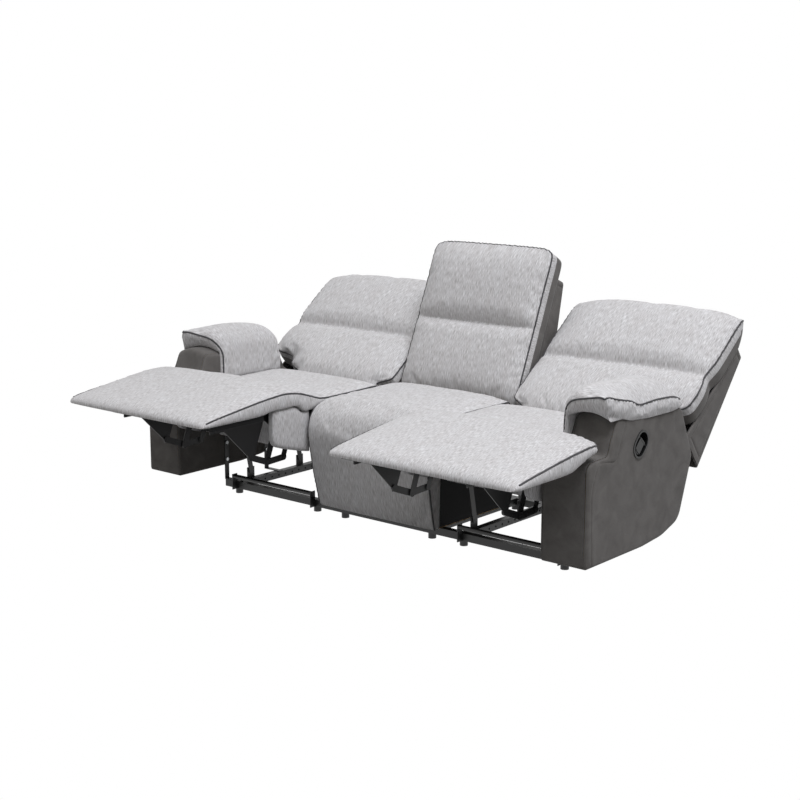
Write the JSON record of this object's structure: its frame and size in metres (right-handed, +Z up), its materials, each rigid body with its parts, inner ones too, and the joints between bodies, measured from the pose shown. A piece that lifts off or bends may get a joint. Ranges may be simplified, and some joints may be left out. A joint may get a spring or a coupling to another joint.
{
  "type": "reclining sofa",
  "caption": "Long upholstered sofa with a fixed middle seat, motion end seats with linked folding footrests and hinged reclining backs, padded arms and recessed pull handles.",
  "frame": {"origin": "centre of the outline on the floor, with both end seats fully open", "axes": "+X across the sofa towards the right arm as seen from the front, -Y to the front, +Z up"},
  "size_m": [2.1, 1.5078, 1.0103],
  "materials": {
    "chenille": "light warm-grey chenille, woven, matt",
    "suede": "dark grey faux suede, brushed, matt",
    "lining": "black non-woven lining",
    "black_steel": "black powder coat",
    "zinc_steel": "zinc plated",
    "spring_wire": "oil-tempered wire",
    "timber": "planed softwood and plywood, unfinished",
    "black_plastic": "moulded, fine texture"
  },
  "bodies": {
    "root": {"cross_rails": "black_steel", "side_rails": "black_steel", "floor_glides": "black_plastic", "spreader_tubes": "black_steel", "base_brackets": "black_steel", "arm_bolts": "zinc_steel", "centre_seat_frame": "timber", "centre_seat_springs": "spring_wire", "centre_seat_cushion": "chenille", "centre_front_panel": "chenille", "centre_side_linings": "lining", "centre_back_frame": "black_steel", "centre_back_cushion": "chenille", "centre_back_shell": "suede", "left_arm_frame": "timber", "left_arm_shell": "suede", "left_arm_outer_panel": "suede", "left_arm_inner_panel": "suede", "left_arm_pad": "chenille", "left_handle_cup": "black_plastic", "right_arm_frame": "timber", "right_arm_shell": "suede", "right_arm_outer_panel": "suede", "right_arm_inner_panel": "suede", "right_arm_pad": "chenille", "right_handle_cup": "black_plastic"},
    "left_seat": {"left_seat_frame": "timber", "left_seat_springs": "spring_wire", "left_seat_cushion": "chenille", "left_seat_front_panel": "chenille", "left_side_plates": "black_steel"},
    "left_footrest": {"left_footrest_brackets": "black_steel", "left_footrest_board": "timber", "left_footrest_pad": "chenille"},
    "left_rear_link": {"left_rear_links": "black_steel"},
    "left_front_link": {"left_front_links": "black_steel"},
    "left_coupler": {"left_coupler_links": "black_steel"},
    "left_front_leg": {"left_front_legs": "black_steel"},
    "left_rear_leg": {"left_rear_legs": "black_steel"},
    "left_back": {"left_back_frame": "black_steel", "left_back_cushion": "chenille", "left_back_shell": "suede"},
    "left_handle": {"left_handle": "black_plastic"},
    "right_seat": {"right_seat_frame": "timber", "right_seat_springs": "spring_wire", "right_seat_cushion": "chenille", "right_seat_front_panel": "chenille", "right_side_plates": "black_steel"},
    "right_footrest": {"right_footrest_brackets": "black_steel", "right_footrest_board": "timber", "right_footrest_pad": "chenille"},
    "right_rear_link": {"right_rear_links": "black_steel"},
    "right_front_link": {"right_front_links": "black_steel"},
    "right_coupler": {"right_coupler_links": "black_steel"},
    "right_front_leg": {"right_front_legs": "black_steel"},
    "right_rear_leg": {"right_rear_legs": "black_steel"},
    "right_back": {"right_back_frame": "black_steel", "right_back_cushion": "chenille", "right_back_shell": "suede"},
    "right_handle": {"right_handle": "black_plastic"}
  },
  "joints": [
    {"name": "left_carriage_slide", "type": "slide", "parent": "root", "child": "left_seat", "axis": [0, 1, 0], "range_m": [0, 0.0602]},
    {"name": "left_footrest_fold", "type": "hinge", "parent": "left_seat", "child": "left_footrest", "pos_m": [-0.578, -0.4139, 0.43], "axis": [1, 0, 0], "range_deg": [0, 90]},
    {"name": "left_rear_link_swing", "type": "hinge", "parent": "left_seat", "child": "left_rear_link", "pos_m": [-0.578, -0.2359, 0.4], "axis": [1, 0, 0], "range_deg": [0, 90]},
    {"name": "left_front_link_swing", "type": "hinge", "parent": "left_seat", "child": "left_front_link", "pos_m": [-0.578, -0.3239, 0.396], "axis": [1, 0, 0], "range_deg": [0, 90]},
    {"name": "left_coupler_turn", "type": "hinge", "parent": "left_rear_link", "child": "left_coupler", "pos_m": [-0.578, -0.2939, 0.254], "axis": [1, 0, 0], "range_deg": [-90, 0]},
    {"name": "left_front_leg_swing", "type": "hinge", "parent": "root", "child": "left_front_leg", "pos_m": [-0.578, -0.0189, 0.075], "axis": [1, 0, 0], "range_deg": [-23.17, 0]},
    {"name": "left_rear_leg_swing", "type": "hinge", "parent": "root", "child": "left_rear_leg", "pos_m": [-0.578, 0.2711, 0.075], "axis": [1, 0, 0], "range_deg": [-23.17, 0]},
    {"name": "left_back_recline", "type": "hinge", "parent": "left_seat", "child": "left_back", "pos_m": [-0.578, 0.2731, 0.43], "axis": [1, 0, 0], "range_deg": [0, 30]},
    {"name": "left_handle_pull", "type": "hinge", "parent": "root", "child": "left_handle", "pos_m": [-1.0435, -0.03335, 0.47524], "axis": [0, 0.7314, -0.682], "range_deg": [0, 30], "stiffness_Nm_per_rad": 2},
    {"name": "right_carriage_slide", "type": "slide", "parent": "root", "child": "right_seat", "axis": [0, 1, 0], "range_m": [0, 0.0602]},
    {"name": "right_footrest_fold", "type": "hinge", "parent": "right_seat", "child": "right_footrest", "pos_m": [0.578, -0.4139, 0.43], "axis": [1, 0, 0], "range_deg": [0, 90]},
    {"name": "right_rear_link_swing", "type": "hinge", "parent": "right_seat", "child": "right_rear_link", "pos_m": [0.578, -0.2359, 0.4], "axis": [1, 0, 0], "range_deg": [0, 90]},
    {"name": "right_front_link_swing", "type": "hinge", "parent": "right_seat", "child": "right_front_link", "pos_m": [0.578, -0.3239, 0.396], "axis": [1, 0, 0], "range_deg": [0, 90]},
    {"name": "right_coupler_turn", "type": "hinge", "parent": "right_rear_link", "child": "right_coupler", "pos_m": [0.578, -0.2939, 0.254], "axis": [1, 0, 0], "range_deg": [-90, 0]},
    {"name": "right_front_leg_swing", "type": "hinge", "parent": "root", "child": "right_front_leg", "pos_m": [0.578, -0.0189, 0.075], "axis": [1, 0, 0], "range_deg": [-23.17, 0]},
    {"name": "right_rear_leg_swing", "type": "hinge", "parent": "root", "child": "right_rear_leg", "pos_m": [0.578, 0.2711, 0.075], "axis": [1, 0, 0], "range_deg": [-23.17, 0]},
    {"name": "right_back_recline", "type": "hinge", "parent": "right_seat", "child": "right_back", "pos_m": [0.578, 0.2731, 0.43], "axis": [1, 0, 0], "range_deg": [0, 30]},
    {"name": "right_handle_pull", "type": "hinge", "parent": "root", "child": "right_handle", "pos_m": [1.0435, -0.03335, 0.47524], "axis": [0, -0.7314, 0.682], "range_deg": [0, 30], "stiffness_Nm_per_rad": 2}
  ],
  "couplings": [
    {"joint": "left_carriage_slide", "follows": "left_footrest_fold", "m_per_rad": 0.038197},
    {"joint": "left_rear_link_swing", "follows": "left_footrest_fold", "ratio": 1},
    {"joint": "left_front_link_swing", "follows": "left_footrest_fold", "ratio": 1},
    {"joint": "left_coupler_turn", "follows": "left_footrest_fold", "ratio": -1},
    {"joint": "left_front_leg_swing", "follows": "left_footrest_fold", "ratio": -0.25638},
    {"joint": "left_rear_leg_swing", "follows": "left_footrest_fold", "ratio": -0.25638},
    {"joint": "right_carriage_slide", "follows": "right_footrest_fold", "m_per_rad": 0.038197},
    {"joint": "right_rear_link_swing", "follows": "right_footrest_fold", "ratio": 1},
    {"joint": "right_front_link_swing", "follows": "right_footrest_fold", "ratio": 1},
    {"joint": "right_coupler_turn", "follows": "right_footrest_fold", "ratio": -1},
    {"joint": "right_front_leg_swing", "follows": "right_footrest_fold", "ratio": -0.25638},
    {"joint": "right_rear_leg_swing", "follows": "right_footrest_fold", "ratio": -0.25638}
  ]
}
